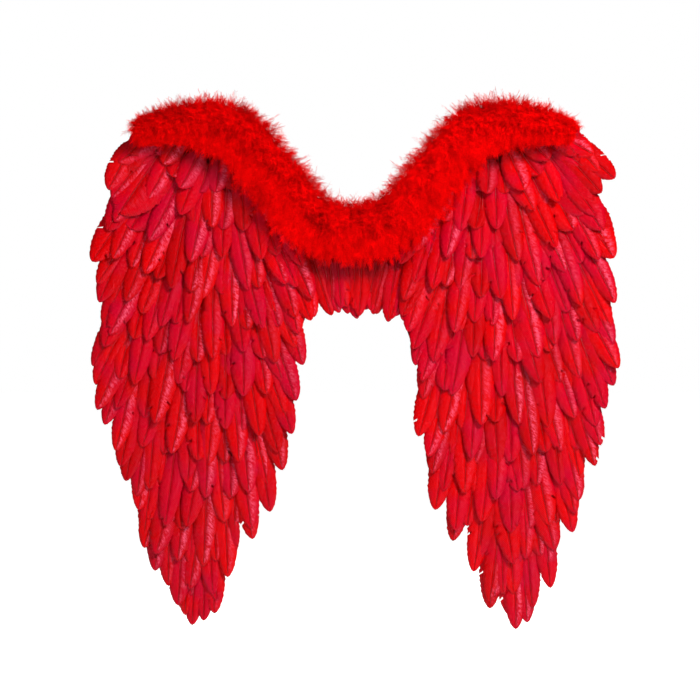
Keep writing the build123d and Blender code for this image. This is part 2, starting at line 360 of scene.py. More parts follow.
def arrays_of(mesh):
    """A mesh's points (n, 3), and the point numbers of its faces' corners, face after face."""
    points = np.zeros(len(mesh.vertices) * 3, np.float32)
    mesh.vertices.foreach_get("co", points)
    corners = np.zeros(len(mesh.loops), np.int32)
    mesh.loops.foreach_get("vertex_index", corners)
    return points.reshape(-1, 3).astype(float), corners


def node_points(name):
    """A CAD node's welded points, and its triangles."""
    shape = welded(name)
    bmesh.ops.triangulate(shape, faces=shape.faces)
    mesh = bpy.data.meshes.new("welded")
    shape.to_mesh(mesh)
    shape.free()
    points, corners = arrays_of(mesh)
    bpy.data.meshes.remove(mesh)
    return points, corners.reshape(-1, 3)


print("welded points in row 05:", len(node_points("right_feathers_05")[0]))

# %% [markdown]
# ### One seat for each plate
# A row is one node with several plates in it. A plate is found as an island of joined triangles, and
# its three directions are the principal ones of its points.

# %% Seats from the CAD plates
def islands(count, triangles):
    """A label for each point: points take the lowest label of their triangle until nothing changes."""
    labels = np.arange(count)
    while True:
        lowest = labels[triangles].min(1)
        spread = labels.copy()
        np.minimum.at(spread, triangles.ravel(), np.repeat(lowest, 3))
        if (spread == labels).all():
            return labels
        labels = spread


def seat_of(points):
    """The quill end, the three directions, the length and the width of one plate. The directions are the
    principal ones: points spread most along the first and least along the last."""
    centre = points.mean(0)
    along, _, normal = np.linalg.svd(points - centre)[2]
    along = -along if along[2] > 0 else along
    normal = -normal if normal[1] > 0 else normal
    across = np.cross(normal, along)
    reach = (points - centre) @ along
    width = np.ptp((points - centre) @ across)
    return {
        "root": centre + along * reach.min(),
        "axes": np.array([along, across, normal]),
        "length": np.ptp(reach),
        "width": width,
    }


def feather_seats(name, sign=1):
    """The seats of all feathers of a CAD node, in the order of sign times x."""
    points, triangles = node_points(name)
    labels = islands(len(points), triangles)
    seats = [seat_of(points[labels == label]) for label in np.unique(labels)]
    return sorted(seats, key=lambda seat: sign * seat["root"][0])


def tip_x(seat):
    """How far from the middle of the wings a feather's tip lies."""
    return abs(seat["root"][0] + seat["axes"][0][0] * seat["length"])


print("feathers in row 05:", len(feather_seats("right_feathers_05")))

# %% [markdown]
# ## Growing a feather
# A vane is a surface with two parameters: u counts the barbs from quill end to tip, and t runs along
# a barb from the quill to the edge. A barb starts at one place on the quill and ends further towards
# the tip, which gives the slant. The outline sets how long each barb is. Where barbs unzip, cells are
# left out and the barbs beside the gap lean into it. The vane bulges on each side of the quill, its
# edges dip, and its tip curls.

# %% The outline and one side of a vane
def outline(v):
    """Half width at v from quill end to tip: a quarter wave up, then a blunt round end."""
    rise = np.sin(0.5 * np.pi * np.clip((v - 0.04) / 0.5, 0, 1)) ** 0.8
    fall = np.clip(1 - np.clip((v - 0.62) / 0.38, 0, 1) ** 2.1, 0, 1) ** 0.6
    return rise * fall


def unzip(u, t, splits, gaps):
    """How far barbs lean at each split: most beside it and at the edge, and less along the quill."""
    away = u[..., None] - splits
    return (gaps * np.sign(away) * np.exp(-np.abs(away) / 0.04)).sum(-1) * t**1.5


def vane_side(length, half_width, side, shape, barbs, steps, rng):
    """One side of a vane in the feather's own frame: x along, y across, z towards the front. A barb's x
    runs from its start on the quill to its end, its y is the outline there times t, and its z adds up a
    bulge that is highest half-way, a dip at the edge, a slow wave and a curl that grows as a square."""
    u, t = np.meshgrid(np.linspace(0, 1, barbs), np.linspace(0, 1, steps), indexing="ij")
    count = np.arange(barbs)[:, None]
    start = 0.09 + 0.87 * u
    end = np.minimum(0.17 + 0.84 * u**0.93, 1.0)
    uneven = 1 + 0.02 * rng.standard_normal((barbs, 1)) - 0.05 * (count % 2)
    uneven = uneven * np.clip((u + 0.01) / 0.13, 0, 1) ** 0.6
    splits = rng.uniform(0.3, 0.95, rng.integers(0, 3))
    gaps = -rng.uniform(0.006, 0.012, len(splits))
    x = start + (end - start) * (0.8 * t + 0.2 * t * t) + unzip(u, t, splits, gaps)
    y = side * half_width * outline(end) * t * uneven
    lift = shape["bulge"] * 4 * t * (1 - t) * outline(end) + shape["cup"] * outline(end) * (0.4 - t**1.7)
    lift = lift + 0.00008 * t * (2 * (count % 2) - 1) + shape["roll"] * y
    lift = lift + shape["wave"] * np.sin(2 * np.pi * (1.6 * end + shape["phase"])) * t
    lift = lift + shape["curl"] * np.maximum(x - 0.35, 0) ** 2
    y = y + shape["bend"] * (x - 0.2) ** 2
    points = np.stack([length * x, y, lift], -1).reshape(-1, 3)
    keep = np.ones((barbs - 1, steps - 1), bool)
    station = np.clip((splits * (barbs - 1)).astype(int), 0, barbs - 2)
    keep[station] &= np.arange(steps - 1) < rng.integers(steps // 2, steps, len(splits))[:, None]
    quads = grid_quads(barbs, steps)[keep.ravel()]
    quads = quads if side > 0 else quads[:, ::-1]
    return points, quads, u.ravel(), side * t.ravel()


print("half width at a quarter, a half and nine tenths:", outline(np.array([0.25, 0.5, 0.9])).round(2))

# %% [markdown]
# ### A whole feather
# No two feathers are alike, so each takes its own small amounts of bend, curl, wave, roll and length
# from a seeded random generator. A vane gets a thin wall, because a renderer and a printer both like
# closed surfaces. A row of feathers is one mesh, which keeps the number of objects low.

# %% A whole feather on its seat
def grow_feather(vanes, quills, seat, rng, barbs=36, steps=4):
    """Adds one feather to the bundles: two vane sides as thin closed walls, and a tapered quill."""
    length = seat["length"] * rng.uniform(0.97, 1.03)
    half_width = 0.5 * seat["width"] * rng.uniform(1.04, 1.16)
    shape = {
        "bulge": rng.uniform(0.4, 1.1) * MM,
        "cup": rng.uniform(2.0, 4.2) * MM,
        "curl": rng.uniform(-2, 16) * MM,
        "roll": rng.uniform(-0.12, 0.12),
        "bend": rng.uniform(-9, 9) * MM,
        "wave": rng.uniform(0.2, 0.9) * MM,
        "phase": rng.uniform(0, 1),
    }
    tone = rng.uniform(0, 1)
    turn = rng.uniform(-0.055, 0.055)
    along, across, normal = seat["axes"]
    turned_along = along * np.cos(turn) + across * np.sin(turn)
    turned_across = across * np.cos(turn) - along * np.sin(turn)
    to_row = np.array([turned_along, turned_across, normal])
    for side in (-1, 1):
        points, quads, barb, across = vane_side(length, half_width, side, shape, barbs, steps, rng)
        points, quads = thicken(points, quads, np.array([0, 0, -0.25 * MM]))
        values = {"barb": np.tile(barb, 2), "across": np.tile(across, 2)}
        vanes.add(seat["root"] + points @ to_row, quads, tone=tone, **values)
    v = np.linspace(-0.02, 0.96, 14)
    lift = shape["curl"] * np.maximum(v - 0.35, 0) ** 2 + 0.4 * shape["cup"] * outline(v)
    path = np.stack([length * v, shape["bend"] * (v - 0.2) ** 2, lift], -1)
    radii = (0.95 - 0.75 * np.clip(v, 0, 1)) * MM
    points, quads, caps = tube(path, np.array([0, 1, 0]), np.array([0, 0, 1]), radii, sides=5)
    quills.add(seat["root"] + points @ to_row, quads, caps)


trial = Bundle(), Bundle()
grow_feather(*trial, feather_seats("right_feathers_05")[0], np.random.default_rng(0))
print("points in the vane and the quill of one feather:", trial[0].count, trial[1].count)

# %% [markdown]
# ### A row of feathers
# A row becomes two pieces, because its vanes and its quills have different finishes. The small plates
# of the CAD row are replaced by the vanes.

# %% A row of feathers
def unit(vectors):
    """The same directions, each of length 1."""
    return vectors / np.linalg.norm(vectors, axis=-1, keepdims=True)


def mixed_seat(a, b, share, back=0.0):
    """A seat between two others, pushed back by back metres."""
    along = unit((1 - share) * a["axes"][0] + share * b["axes"][0])
    normal = (1 - share) * a["axes"][2] + share * b["axes"][2]
    normal = unit(normal - (normal @ along) * along)
    seat = {key: (1 - share) * a[key] + share * b[key] for key in ("root", "length", "width")}
    seat["root"] = seat["root"] - back * normal
    seat["axes"] = np.array([along, np.cross(normal, along), normal])
    return seat


def feather_row(name, seats, body, rng, fillers=(), replaced=()):
    """Grows a row of feathers and its fillers, as one piece of vanes and one of quills."""
    vanes, quills = Bundle(), Bundle()
    for seat in fillers:
        grow_feather(vanes, quills, seat, rng, barbs=24, steps=3)
    for seat in seats:
        grow_feather(vanes, quills, seat, rng)
    pieces = vanes.piece(name + "_vanes", SATIN), quills.piece(name + "_quills", QUILL)
    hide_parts(*replaced)
    for piece in pieces:
        if body:
            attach(piece, body)
    return pieces


pair = feather_seats("right_feathers_05")[:2]
print("length half-way between two feathers:", round(float(mixed_seat(*pair, 0.5)["length"]), 4))

# %% [markdown]
# ## Laying the rows
# A wing maker glues the lowest row first and each next row over its quills. Between the feathers of
# the CAD rows lie fillers, as on the real wing, so that no cover shows. At both edges of a row, a
# feather half-way between the rows above and below keeps the outline full. Where the wing meets the
# centre, a few feathers fan over the hinge.

# %% Seats between the CAD feathers
def under_seat(a, b):
    """A shorter feather between two neighbours, flat on the cover, under the next row."""
    seat = mixed_seat(a, b, 0.5)
    step = min(45 * MM, 0.4 * seat["length"])
    return moved(seat, along=step, back=3.0 * MM, shorter=step)


def moved(seat, along=0.0, across=0.0, back=0.0, shorter=0.0):
    """The same seat somewhere else: along its line, across it, and back towards the cover."""
    root = seat["root"] + seat["axes"].T @ np.array([along, across, -back])
    return {**seat, "root": root, "length": seat["length"] - shorter}


def edge_chain(rows, end, furthest):
    """The seats down one edge: a row's own end, or the mean of its neighbours' if that is further out."""
    chain = [rows[0][end]]
    for above, row, below in zip(rows, rows[1:], rows[2:]):
        chain.append(furthest(row[end], mixed_seat(above[end], below[end], 0.5), key=tip_x))
    return chain + [rows[-1][end]]


def edge_seats(chain, k, row, outward):
    """The feathers that row k needs at one edge: the chain's own, and one half-way down to the next."""
    seats = [] if any(chain[k] is seat for seat in row) else [chain[k]]
    if k + 1 < len(chain):
        seats.append(moved(mixed_seat(chain[k], chain[k + 1], 0.5), across=outward))
    return seats


print("length of the filler between the same two:", round(float(under_seat(*pair)["length"]), 4))

# %% [markdown]
# ## The line of the band
# The marabou is sewn along the top edge, so the CAD tubes give its line. It is read here, before the
# rows, because the feathers of the shoulder start under the band.

# %% The line of the band
def band_ridge():
    """The band's line as z over x, from the foremost points of the three CAD marabou tubes."""
    ridge = []
    for name in ("left_marabou", "centre_marabou", "right_marabou"):
        points, _ = node_points(name)
        front = points[points[:, 1] < points[:, 1].min() + 0.6 * MM]
        ridge.append(front[:, [0, 2]])
    ridge = np.concatenate(ridge)
    bins = np.round(ridge[:, 0] / (8 * MM)).astype(int)
    return np.array([ridge[bins == b].mean(0) for b in np.unique(bins)])


RIDGE = band_ridge()
BAND_LOW, BAND_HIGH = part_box("right_marabou")
BAND_Y = 0.5 * (BAND_LOW.y + BAND_HIGH.y)
BAND_DEPTH = BAND_HIGH.y - BAND_LOW.y
SPAN = RIDGE[-1, 0]
print("band ridge points:", len(RIDGE), "span", round(float(SPAN), 3), "depth", round(BAND_Y, 4))


def bells(x, parts):
    """A sum of bell curves over the distance from the middle, each (height, place, width) in mm."""
    reach = np.abs(x) / MM
    return sum(high * np.exp(-(((reach - middle) / wide) ** 2)) for high, middle, wide in parts) * MM


def band_height(x):
    """The ridge's height at x: the mean over 24 mm, past the CAD tube's end a slope down. The thick down
    fills the middle of the valley and the inner slopes of the humps, so it lies higher there."""
    reach = np.abs(x)[:, None] + np.linspace(-12, 12, 7) * MM
    past = np.maximum(reach - SPAN, 0)
    line = (np.interp(reach, RIDGE[:, 0], RIDGE[:, 1]) - 0.8 * past).mean(1)
    return line + bells(x, ((17, 0, 26), (-8, 52, 15), (8, 142, 48)))


def band_line(x):
    """Points, directions and upward directions of the band at given x. A direction leads to the point
    3 mm further on, and up is square to it."""
    z = band_height(x)
    step = 3 * MM
    line = np.stack([x, np.full_like(x, BAND_Y), z], -1)
    direction = unit(np.stack([np.full_like(x, step), np.zeros_like(x), band_height(x + step) - z], -1))
    up = np.cross(direction, [0, 1, 0])
    return line, direction, np.where(up[:, 2:] < 0, -up, up)


print("band height at 0, 100, 200 mm:", band_line(np.array([0, 0.1, 0.2]))[0][:, 2].round(3))

# %% [markdown]
# ### Feathers of the shoulder
# Past the band's outer end the top feathers turn from level to steep, and give the wing its round
# shoulder. They start under the band.

# %% Feathers of the shoulder
def shoulder_seats(seat, sign):
    """Four feathers from under the band's outer end, turned further down the further out they start."""
    seats = []
    for start, slope in ((58, 17), (35, 32), (12, 44), (-6, 54)):
        x = np.array([sign * (SPAN - start * MM)])
        slope = np.radians(slope + 4 - 5 * sign)
        along, normal = np.array([sign * np.cos(slope), 0, -np.sin(slope)]), np.array([0, -1.0, 0])
        root = np.array([x[0], seat["root"][1] - 2.5 * MM, band_height(x)[0] + 3 * MM])
        axes = np.array([along, np.cross(normal, along), normal])
        seats.append({"root": root, "axes": axes, "length": 84 * MM, "width": seat["width"]})
    return seats


print("feathers for one shoulder:", len(shoulder_seats(pair[0], 1)))

# %% [markdown]
# ### Growing
# Each row becomes two pieces, its vanes and its quills, and rides with its wing.

# %% Grow every row
centre_seats = feather_seats("centre_feathers")
grown = 0
for sign, side in ((-1, "left"), (1, "right")):
    rows = [feather_seats(f"{side}_feathers_{row}", sign) for row in WING_ROWS]
    rows[-1] = [moved(seat, along=7 * MM) for seat in rows[-1]]
    inner_chain, outer_chain = edge_chain(rows, 0, min), edge_chain(rows, -1, max)
    last = rows[-1][0]
    for k, seats in enumerate(rows):
        rng = np.random.default_rng(100 * (sign + 2) + k)
        fillers = [under_seat(a, b) for a, b in zip(seats, seats[1:])]
        shoulder = sign * (7 if k < 5 else 2) * MM
        inwards = (12 if k < 5 else 14) * MM
        extra = edge_seats(inner_chain, k, seats, -sign * inwards)
        extra += edge_seats(outer_chain, k, seats, shoulder)
        if k == 0:
            extra += shoulder_seats(seats[-1], sign)
        if k + 1 == len(rows):
            extra += [moved(last, -8 * MM, 11 * MM, 0.4 * MM), moved(last, -17 * MM, -12 * MM, 0.4 * MM)]
        name = f"{side}_feathers_{WING_ROWS[k]}"
        feather_row(f"{side}_row_{WING_ROWS[k]}", seats + extra, f"{side}_wing", rng, fillers, [name])
        grown += len(seats) + len(extra) + len(fillers)
    inner = centre_seats[-1] if sign > 0 else centre_seats[0]
    fan = [mixed_seat(inner, rows[4][0], share) for share in (0.2, 0.42, 0.62, 0.82)]
    fan = [moved(seat, along=-18 * MM, shorter=-22 * MM) for seat in fan]
    fan += [moved(seat, along=-26 * MM, back=1.5 * MM) for seat in fan[:3]]
    for piece in feather_row(f"{side}_fan", fan, None, np.random.default_rng(50 + sign)):
        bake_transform(piece)
centre_seats = [moved(seat, along=-16 * MM, shorter=-16 * MM) for seat in centre_seats]
below = [mixed_seat(a, b, 0.5, back=1.0 * MM) for a, b in zip(centre_seats, centre_seats[1:])]
feather_row("centre_row", centre_seats, "centre", np.random.default_rng(7), below, ["centre_feathers"])
print("feathers grown:", grown + len(centre_seats) + len(below) + 2 * len(fan))

# %% [markdown]
# ## The marabou band
# Marabou is the soft down of a bird, sewn in a thick fluffy rope. Each plume has a fine shaft with
# long loose barbs on both sides. Hair curves would look right but export badly, so each barb is a
# narrow ribbon of two faces, bent and pointed. All plumes of a band are computed at once as arrays of
# plumes by barbs by points. A lumpy core inside keeps light from shining through.

# %% Marabou material
def marabou_down():
    """Matt red that differs from plume to plume, with deeper patches some 25 mm across."""
    material, tree, shader = new_material(
        "marabou_down", (0.8, 0.001, 0.002), 0.9, Specular_IOR_Level=0.05, Sheen_Weight=0.08,
        Sheen_Roughness=0.6,
    )
    shader.inputs["Sheen Tint"].default_value = (1.0, 0.05, 0.05, 1)
    colour = blend_colours(tree, attribute(tree, "tone"), (0.68, 0.0001, 0.0003), (1.0, 0.0002, 0.0005))
    deep = maths(tree, "MULTIPLY", between(tree, noise(tree, 38.0, 3.0), 0.5, 0.7), 0.6)
    colour = blend_colours(tree, deep, colour, (0.42, 0.0001, 0.0002))
    tree.links.new(colour, shader.inputs["Base Color"])
    bump(tree, shader, noise(tree, 1200.0), 0.0001)
    return material


DOWN = marabou_down()
print("nodes in the down graph:", len(DOWN.node_tree.nodes))

# %% [markdown]
# ### Fullness
# The band isn't equally thick: its down hangs furthest on the inner slopes and thins out at the
# outer ends. Two smooth functions of x say so, and everything below reads them.

# %% How full the band is
def fullness(x):
    """How far down the down hangs: bell curves over the inner slope, under the hump and at the hinge."""
    return 30 * MM + bells(x, ((31, 85, 92), (8, 192, 32), (4, 56, 15), (14, 0, 26), (6, 142, 48)))


def thinness(x):
    """1 along most of the band, and less than a half at its outer ends."""
    return 1 - 0.6 * np.clip((np.abs(x) - 0.8 * SPAN) / (0.3 * SPAN), 0, 1) ** 1.3


print("hanging down in mm at 0, 85, 200:", (fullness(np.array([0, 0.085, 0.2])) / MM).round(1))

# %% [markdown]
# ### The core
# The cores are what the plumes are bound to on a real boa. Without them light would shine through.

# %% The core of the band
def band_core(bundle, x0, x1, drop=0.0, back=0.0, stations=70, around=20):
    """A lumpy oval rope carried along the band, swollen by slow waves, closed at both ends. It lies lower
    by a share, drop, of the fullness, and further back by back."""
    x = np.linspace(x0, x1, stations)
    line, _, up = band_line(x)
    line = line - drop * fullness(x)[:, None] * up + np.array([0, back, 0])
    turn = np.linspace(0, 2 * np.pi, around, endpoint=False)
    ends = np.sqrt(np.clip(1 - np.linspace(-1, 1, stations) ** 16, 0.0004, 1)) * thinness(x)
    lumps = 1 + 0.12 * np.sin(140 * x[:, None] + 2 * turn) + 0.08 * np.sin(310 * x[:, None] - 3 * turn)
    size = (ends[:, None] * lumps)[..., None]
    tall, deep = 14 * MM * np.cos(turn)[:, None], 8 * MM * np.sin(turn)[:, None]
    points = line[:, None] + size * (tall * up[:, None] + deep * np.array([0, 1, 0]))
    bundle.add(points.reshape(-1, 3), grid_quads(stations, around, close_columns=True)[:, ::-1], tone=0.1)


trial = Bundle()
band_core(trial, -10 * MM, 10 * MM)
print("height and depth of a core in mm:", (np.ptp(trial.points[0], 0)[[2, 1]] / MM).round(1))

# %% [markdown]
# ### Plumes
# A plume is a fine shaft with loose barbs on both sides. It leaves its root in one direction and bends
# under its own weight, and each barb leaves the shaft at its own slant and droops.

# %% Plumes of down
PLUME_BARBS = 26


def plumes(bundle, root, heading, outward, length, rng):
    """Adds a plume at every root: a shaft that bends under its weight, with barbs on alternate sides."""
    count = len(root)
    weight = rng.uniform(0.05, 0.35, (count, 1)) * np.array([0, 0, -1]) + rng.normal(0, 0.2, (count, 3))
    t = np.linspace(0.05, 1.0, PLUME_BARBS)[None, :, None]
    size = length[:, None, None]
    stem = root[:, None] + size * (t * heading[:, None] + t * t * weight[:, None])
    tangent = unit(heading[:, None] + 2 * t * weight[:, None])
    side = unit(np.cross(tangent, outward[:, None]))
    swap = np.where(np.arange(PLUME_BARBS) % 2, 1, -1)[None, :, None]
    shape = (count, PLUME_BARBS, 1)
    spread = swap * rng.uniform(0.6, 1.5, shape) * (1.15 - 0.6 * t)
    aim = unit(tangent + spread * side + rng.normal(0, 0.45, shape) * outward[:, None])
    reach = rng.uniform(5, 10, shape) * MM * (1.1 - 0.45 * t)
    droop = np.array([0, 0, -1]) * reach * rng.uniform(0.0, 0.35, shape)
    flat = unit(np.cross(aim, outward[:, None])) * 0.17 * MM
    middle = stem + 0.55 * reach * aim + 0.3 * droop
    tip = stem + reach * aim + droop
    points = np.stack([stem - flat, stem + flat, middle - 0.8 * flat, middle + 0.8 * flat, tip], 2)
    points = points.reshape(-1, 3)
    depth = points[:, 1] - BAND_Y
    points[:, 1] = BAND_Y + 0.95 * BAND_DEPTH * np.tanh(depth / (0.95 * BAND_DEPTH))
    base = 5 * np.arange(count * PLUME_BARBS)[:, None]
    tone = np.repeat(rng.uniform(0.0, 1.0, count), PLUME_BARBS * 5)
    bundle.add(points, base + [0, 2, 3, 1], base + [2, 4, 3], tone=tone)


trial = Bundle()
up_and_front = np.array([[0, 0, 1.0]]), np.array([[0, -1.0, 0]])
plumes(trial, np.zeros((1, 3)), *up_and_front, np.array([12 * MM]), np.random.default_rng(0))
print("faces in one plume:", len(trial.quads[0]) + len(trial.tris[0]))

# %% [markdown]
# ### Where plumes stand
# Rope plumes stand all round the core and make the fluffy upper edge. Hanging plumes start in front
# of the core and cover the quills of the first rows.

# %% Rope plumes and hanging plumes
def rope_plumes(bundle, x0, x1, count, rng):
    """Plumes all round the core, lying well over so that the rope stays close."""
    x = rng.uniform(x0, x1, count)
    line, direction, up = band_line(x)
    turn = rng.normal(0.5, 1.1, count) * np.where(rng.random(count) < 0.25, -1, 1)
    high, front = np.cos(turn)[:, None], np.sin(turn)[:, None]
    outward = unit(high * up - 1.2 * front * np.array([0, 1, 0]))
    root = line + 12 * MM * high * up * thinness(x)[:, None] - 6 * MM * front * np.array([0, 1, 0])
    heading = unit(outward + direction * rng.normal(0, 0.5, (count, 1)) + rng.normal(0, 0.3, (count, 3)))
    length = rng.uniform(9, 14, count) * (1 + 0.5 * np.maximum(high[:, 0], 0)) * thinness(x)
    plumes(bundle, root, heading, outward, length * MM, rng)


def hanging_plumes(bundle, x0, x1, count, rng):
    """Plumes from the front of the core that hang down over the feathers, as far as fullness says."""
    x = rng.uniform(x0, x1, count)
    line, direction, up = band_line(x)
    drop = rng.triangular(0.0, 0.45, 1.3, (count, 1))
    down = -unit(up + np.array([0, 0, 0.8]))
    root = line + (drop * (fullness(x)[:, None] - 20 * MM) - 4 * MM) * down
    root = root - rng.uniform(-2, 7, (count, 1)) * MM * np.array([0, 1, 0])
    sideways = direction * rng.normal(0, 0.6, (count, 1))
    heading = unit(down + sideways + rng.normal(0, 0.2, (count, 3)) * [1, 0.4, 1])
    outward = np.tile([0.0, -1.0, 0.0], (count, 1))
    plumes(bundle, root, heading, outward, rng.uniform(9, 18, count) * thinness(x) * MM, rng)


trial = Bundle()
rope_plumes(trial, -10 * MM, 10 * MM, 20, np.random.default_rng(0))
above = trial.points[0][:, 2].max() - band_height(np.zeros(1))[0]
print("twenty rope plumes stand above the band's line by, in mm:", round(float(above) / MM, 1))

# %% [markdown]
# ### Five stretches
# The middle of the band is a piece of its own that stays with the centre, the inner pieces lie over
# the hinges, and the outer ones ride with the wings.

# %% Sew on the band
def band_down(name, x0, x1, counts, rng):
    """A stretch of marabou: a core and a lower one behind, rope plumes round it and hanging plumes below."""
    bundle = Bundle()
    band_core(bundle, x0, x1)
    band_core(bundle, x0, x1, drop=0.45, back=5 * MM)
    rope_plumes(bundle, x0, x1, counts[0], rng)
    hanging_plumes(bundle, x0, x1, counts[1], rng)
    piece = bundle.piece(name, DOWN)
    return piece


JOIN = 32 * MM
END = SPAN + 10 * MM
centre_down = band_down("centre_marabou_down", -JOIN, JOIN, (560, 560), np.random.default_rng(31))
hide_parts("centre_marabou")
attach(centre_down, "centre")
for sign, side in ((-1, "left"), (1, "right")):
    rng = np.random.default_rng(32 + sign)
    near, far = sorted((sign * (JOIN - 8 * MM), sign * 145 * MM))
    inner = band_down(f"{side}_inner_down", near, far, (1150, 1330), rng)
    near, far = sorted((sign * 140 * MM, sign * END))
    outer = band_down(f"{side}_outer_down", near, far, (1500, 950), rng)
    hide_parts(f"{side}_marabou")
    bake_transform(inner)
    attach(outer, f"{side}_wing")
print("faces in one inner piece of down:", len(inner.data.polygons))

# %% [markdown]
# ## Cloth covers and felt backings
# The covers and felts are flat cuts, glued to the boards. Each is cut from its CAD sheet with a
# square grid of knife lines, so that it can pucker. The pucker is a sum of slow waves that fades
# towards the glued rim. "rim" keeps each point's distance from the rim, for the stitch line.

# %% Cloth and felt materials
def cloth(name, colour, other, scale, depth):
    """Fibres as fine noise, and a stitched groove where the rim attribute is 5 mm, bumped in and darkened by
    painted shade.
    """
    material, tree, shader = new_material(name, colour, 0.92, Specular_IOR_Level=0.1, Sheen_Weight=0.15)
    fibres = noise(tree, scale, 5.0)
    clouds = maths(tree, "MULTIPLY", noise(tree, 25.0, 2.0), 0.5)
    colour = blend_colours(tree, fibres, colour, other)
    colour = blend_colours(tree, clouds, colour, tuple(0.8 * c for c in other))
    away = maths(tree, "ABSOLUTE", maths(tree, "SUBTRACT", attribute(tree, "rim"), 5 * MM))
    groove = maths(tree, "MAXIMUM", maths(tree, "SUBTRACT", 1.0, maths(tree, "DIVIDE", away, 1.2 * MM)), 0.0)
    # Painted shade: the stitched groove is darkened.
    colour = blend_colours(tree, maths(tree, "MULTIPLY", groove, 0.5), colour, (0.1, 0.0, 0.001))
    tree.links.new(colour, shader.inputs["Base Color"])
    bump(tree, shader, maths(tree, "SUBTRACT", fibres, maths(tree, "MULTIPLY", groove, 2.0)), depth)
    return material


COVER = cloth("cover_cloth", (0.30, 0.001, 0.004), (0.22, 0.001, 0.002), 1500.0, 0.0002)
FELT = cloth("backing_felt", (0.52, 0.004, 0.008), (0.40, 0.002, 0.005), 1100.0, 0.0004)
print("nodes in a cloth graph:", len(FELT.node_tree.nodes))

# %% [markdown]
# ### Cut and pucker
# A CAD sheet is two big flat faces and a rim. Knife planes every 7 mm give it points to move. How far
# a point lies from the rim is measured from the points of the faces that look sideways.

# %% Knife lines and the rim
def cut_grid(shape, low, high, pitch, axes=(0, 2)):
    """Cuts a shape through along planes of constant x and z (or other axes), pitch apart."""
    bmesh.ops.dissolve_limit(shape, angle_limit=0.01, verts=shape.verts, edges=shape.edges)
    for axis in axes:
        normal = np.eye(3)[axis]
        for place in np.arange(low[axis] + 0.5 * pitch, high[axis], pitch):
            everything = shape.verts[:] + shape.edges[:] + shape.faces[:]
            knife = {"plane_co": normal * place, "plane_no": normal, "dist": 1e-6}
            bmesh.ops.bisect_plane(shape, geom=everything, **knife)


def face_of_corner(mesh):
    """For each corner of a mesh, the normal of its face."""
    normals = np.zeros(len(mesh.polygons) * 3, np.float32)
    mesh.polygons.foreach_get("normal", normals)
    sizes = np.zeros(len(mesh.polygons), np.int32)
    mesh.polygons.foreach_get("loop_total", sizes)
    return np.repeat(normals.reshape(-1, 3), sizes, axis=0)


def rim_distance(points, on_rim):
    """Each point's distance in x and z from the nearest point on the rim."""
    flat, rim = points[:, [0, 2]], points[on_rim][:, [0, 2]]
    squares = (flat**2).sum(1)[:, None] + (rim**2).sum(1)[None] - 2 * flat @ rim.T
    return np.sqrt(np.maximum(squares.min(1), 0))


print("rim distances of three points:", rim_distance(np.eye(3), np.array([True, False, False])).round(2))

# %% [markdown]
# ### Pucker the sheets
# The side against the board stays where it is and the free side puckers.

# %% Pucker the sheets
def glued_sheet(name, node_name, material, outward, body):
    """A puckered sheet in place of a CAD sheet. Outward is the y direction of its free face."""
    low, high = (np.array(corner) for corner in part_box(node_name))
    shape = welded(node_name)
    cut_grid(shape, low, high, 7 * MM)
    mesh = bpy.data.meshes.new(name)
    shape.to_mesh(mesh)
    shape.free()
    points, corners = arrays_of(mesh)
    on_rim = np.zeros(len(points), bool)
    on_rim[corners[np.abs(face_of_corner(mesh)[:, 1]) < 0.5]] = True
    rim = rim_distance(points, on_rim)
    x, z = points[:, 0] / MM, points[:, 2] / MM
    waves = np.sin(0.11 * x + 0.05 * z + 1.3) + np.sin(0.07 * z - 0.04 * x)
    waves = waves + 0.6 * np.sin(0.23 * x + 0.19 * z)
    free = (points[:, 1] - 0.5 * (low[1] + high[1])) * outward > 0
    points[:, 1] += outward * free * 0.16 * MM * (1.0 + 0.38 * waves) * np.clip(rim / (12 * MM), 0, 1)
    mesh.vertices.foreach_set("co", points.astype(np.float32).ravel())
    mesh.attributes.new("rim", "FLOAT", "POINT").data.foreach_set("value", rim.astype(np.float32))
    mesh.materials.append(material)
    mesh.update()
    piece = bpy.data.objects.new(name, mesh)
    bpy.context.scene.collection.objects.link(piece)
    areas = np.zeros(len(mesh.polygons), np.float32)
    mesh.polygons.foreach_get("area", areas)
    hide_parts(node_name)
    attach(piece, body)
    return piece


glued_sheet("centre_cover_cloth", "centre_front_cover", COVER, -1, "centre")
glued_sheet("centre_felt_back", "centre_felt", FELT, 1, "centre")
for side in SIDES:
    wing = f"{side}_wing"
    glued_sheet(f"{side}_cover_cloth", f"{side}_front_cover", COVER, -1, wing)
    glued_sheet(f"{side}_felt_back", f"{side}_rear_felt", FELT, 1, wing)

# %% [markdown]
# ## Elastic arm loops
# Flat elastic is woven over rubber threads, which show as ribs along its length. The CAD loop is cut
# into narrow strips along its width, and every second strip line is pushed in.

# %% Elastic webbing
def elastic():
    """Black yarn: very fine noise for colour and bump."""
    material, tree, shader = new_material("elastic", (0.015, 0.015, 0.016), 0.75, Sheen_Weight=0.2)
    weave = noise(tree, 1600.0, 3.0)
    colour = blend_colours(tree, weave, (0.012, 0.012, 0.013), (0.035, 0.034, 0.035))
    tree.links.new(colour, shader.inputs["Base Color"])
    bump(tree, shader, weave, 0.0002)
    return material


